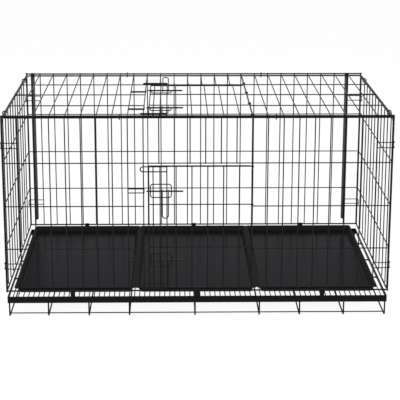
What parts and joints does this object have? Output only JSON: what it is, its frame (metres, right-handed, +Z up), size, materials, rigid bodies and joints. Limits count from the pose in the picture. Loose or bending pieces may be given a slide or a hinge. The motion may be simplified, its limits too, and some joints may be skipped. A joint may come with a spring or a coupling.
{
  "type": "dog playpen",
  "caption": "Covered dog pen of welded black wire on a raised wire floor with lift-out trays, a front door, a top hatch and side panels that fold inwards.",
  "frame": {"origin": "middle of the footprint, on the ground", "axes": "+X along the width, to the right seen from the front; +Y to the back; +Z up"},
  "size_m": [1.237, 0.7992, 0.6957],
  "materials": {
    "wire_coat": "black powder coat on round steel wire",
    "flat_bar_coat": "black powder coat on flat steel strip",
    "latch_coat": "black powder coat on the bolts and their handles",
    "tray_plastic": "black moulded plastic, finely grained"
  },
  "bodies": {
    "root": {"back_base_clips": "flat_bar_coat", "back_corner_keepers": "wire_coat", "back_flat_bars": "flat_bar_coat", "back_rails": "wire_coat", "back_row_wires": "wire_coat", "back_uprights": "wire_coat", "base_back_bar": "flat_bar_coat", "base_end_bars": "flat_bar_coat", "base_front_bar": "flat_bar_coat", "floor_cross_wires": "wire_coat", "floor_wires": "wire_coat", "front_base_clips": "flat_bar_coat", "front_corner_keepers": "wire_coat", "front_door_strike_bars": "wire_coat", "front_door_strike_eyes": "wire_coat", "front_rails": "wire_coat", "front_row_wires": "wire_coat", "front_uprights": "wire_coat", "side_hinge_rings": "wire_coat", "skid_tie_wires": "wire_coat", "skids": "wire_coat", "top_cross_wires": "wire_coat", "top_end_bars": "wire_coat", "top_frame": "wire_coat", "top_hatch_strike_bars": "wire_coat", "top_hatch_strike_eyes": "wire_coat", "top_long_wires": "wire_coat", "top_tie_rings": "wire_coat"},
    "front_door": {"front_door_uprights": "wire_coat", "front_door_rails": "wire_coat", "front_door_hinge_rings": "wire_coat", "front_door_stop_tabs": "wire_coat", "front_door_latch_keepers": "wire_coat", "front_door_bolt_guides": "wire_coat"},
    "top_hatch": {"top_hatch_uprights": "wire_coat", "top_hatch_rails": "wire_coat", "top_hatch_hinge_rings": "wire_coat", "top_hatch_stop_tabs": "wire_coat", "top_hatch_latch_keepers": "wire_coat", "top_hatch_bolt_guides": "wire_coat"},
    "door_lower_bolt": {"door_lower_bolt": "latch_coat"},
    "door_lower_handle": {"door_lower_handle": "latch_coat"},
    "door_upper_bolt": {"door_upper_bolt": "latch_coat"},
    "door_upper_handle": {"door_upper_handle": "latch_coat"},
    "hatch_front_bolt": {"hatch_front_bolt": "latch_coat"},
    "hatch_front_handle": {"hatch_front_handle": "latch_coat"},
    "hatch_back_bolt": {"hatch_back_bolt": "latch_coat"},
    "hatch_back_handle": {"hatch_back_handle": "latch_coat"},
    "left_side": {"left_side_frame": "wire_coat", "left_side_uprights": "wire_coat", "left_side_row_wires": "wire_coat"},
    "right_side": {"right_side_frame": "wire_coat", "right_side_uprights": "wire_coat", "right_side_row_wires": "wire_coat"},
    "left_tray": {"left_tray": "tray_plastic"},
    "middle_tray": {"middle_tray": "tray_plastic"},
    "right_tray": {"right_tray": "tray_plastic"}
  },
  "joints": [
    {"name": "front_door_hinge", "type": "hinge", "parent": "root", "child": "front_door", "pos_m": [0.1708, -0.3905, 0.298], "axis": [0, 0, 1], "range_deg": [0, 170]},
    {"name": "top_hatch_hinge", "type": "hinge", "parent": "root", "child": "top_hatch", "pos_m": [0.1708, -0.095, 0.657], "axis": [0, 1, 0], "range_deg": [0, 170]},
    {"name": "door_lower_bolt_slide", "type": "slide", "parent": "front_door", "child": "door_lower_bolt", "axis": [-1, 0, 0], "range_m": [0, 0.02]},
    {"name": "door_upper_bolt_slide", "type": "slide", "parent": "front_door", "child": "door_upper_bolt", "axis": [-1, 0, 0], "range_m": [0, 0.02]},
    {"name": "hatch_front_bolt_slide", "type": "slide", "parent": "top_hatch", "child": "hatch_front_bolt", "axis": [-1, 0, 0], "range_m": [0, 0.02]},
    {"name": "hatch_back_bolt_slide", "type": "slide", "parent": "top_hatch", "child": "hatch_back_bolt", "axis": [-1, 0, 0], "range_m": [0, 0.02]},
    {"name": "door_lower_handle_turn", "type": "hinge", "parent": "door_lower_bolt", "child": "door_lower_handle", "pos_m": [-0.1023, -0.3973, 0.192], "axis": [-1, 0, 0], "range_deg": [0, 170]},
    {"name": "door_upper_handle_turn", "type": "hinge", "parent": "door_upper_bolt", "child": "door_upper_handle", "pos_m": [-0.1023, -0.3973, 0.42], "axis": [-1, 0, 0], "range_deg": [0, 170]},
    {"name": "hatch_front_handle_turn", "type": "hinge", "parent": "hatch_front_bolt", "child": "hatch_front_handle", "pos_m": [-0.1023, -0.282, 0.6638], "axis": [-1, 0, 0], "range_deg": [0, 160]},
    {"name": "hatch_back_handle_turn", "type": "hinge", "parent": "hatch_back_bolt", "child": "hatch_back_handle", "pos_m": [-0.1023, 0.019, 0.6638], "axis": [1, 0, 0], "range_deg": [0, 140]},
    {"name": "left_side_swing", "type": "hinge", "parent": "root", "child": "left_side", "pos_m": [-0.61, 0, 0.6464], "axis": [0, -1, 0], "range_deg": [0, 88]},
    {"name": "right_side_swing", "type": "hinge", "parent": "root", "child": "right_side", "pos_m": [0.61, 0, 0.6464], "axis": [0, 1, 0], "range_deg": [0, 88]},
    {"name": "left_tray_lift", "type": "slide", "parent": "root", "child": "left_tray", "axis": [0, 0, 1], "range_m": [0, 0.12]},
    {"name": "middle_tray_lift", "type": "slide", "parent": "root", "child": "middle_tray", "axis": [0, 0, 1], "range_m": [0, 0.12]},
    {"name": "right_tray_lift", "type": "slide", "parent": "root", "child": "right_tray", "axis": [0, 0, 1], "range_m": [0, 0.12]}
  ]
}
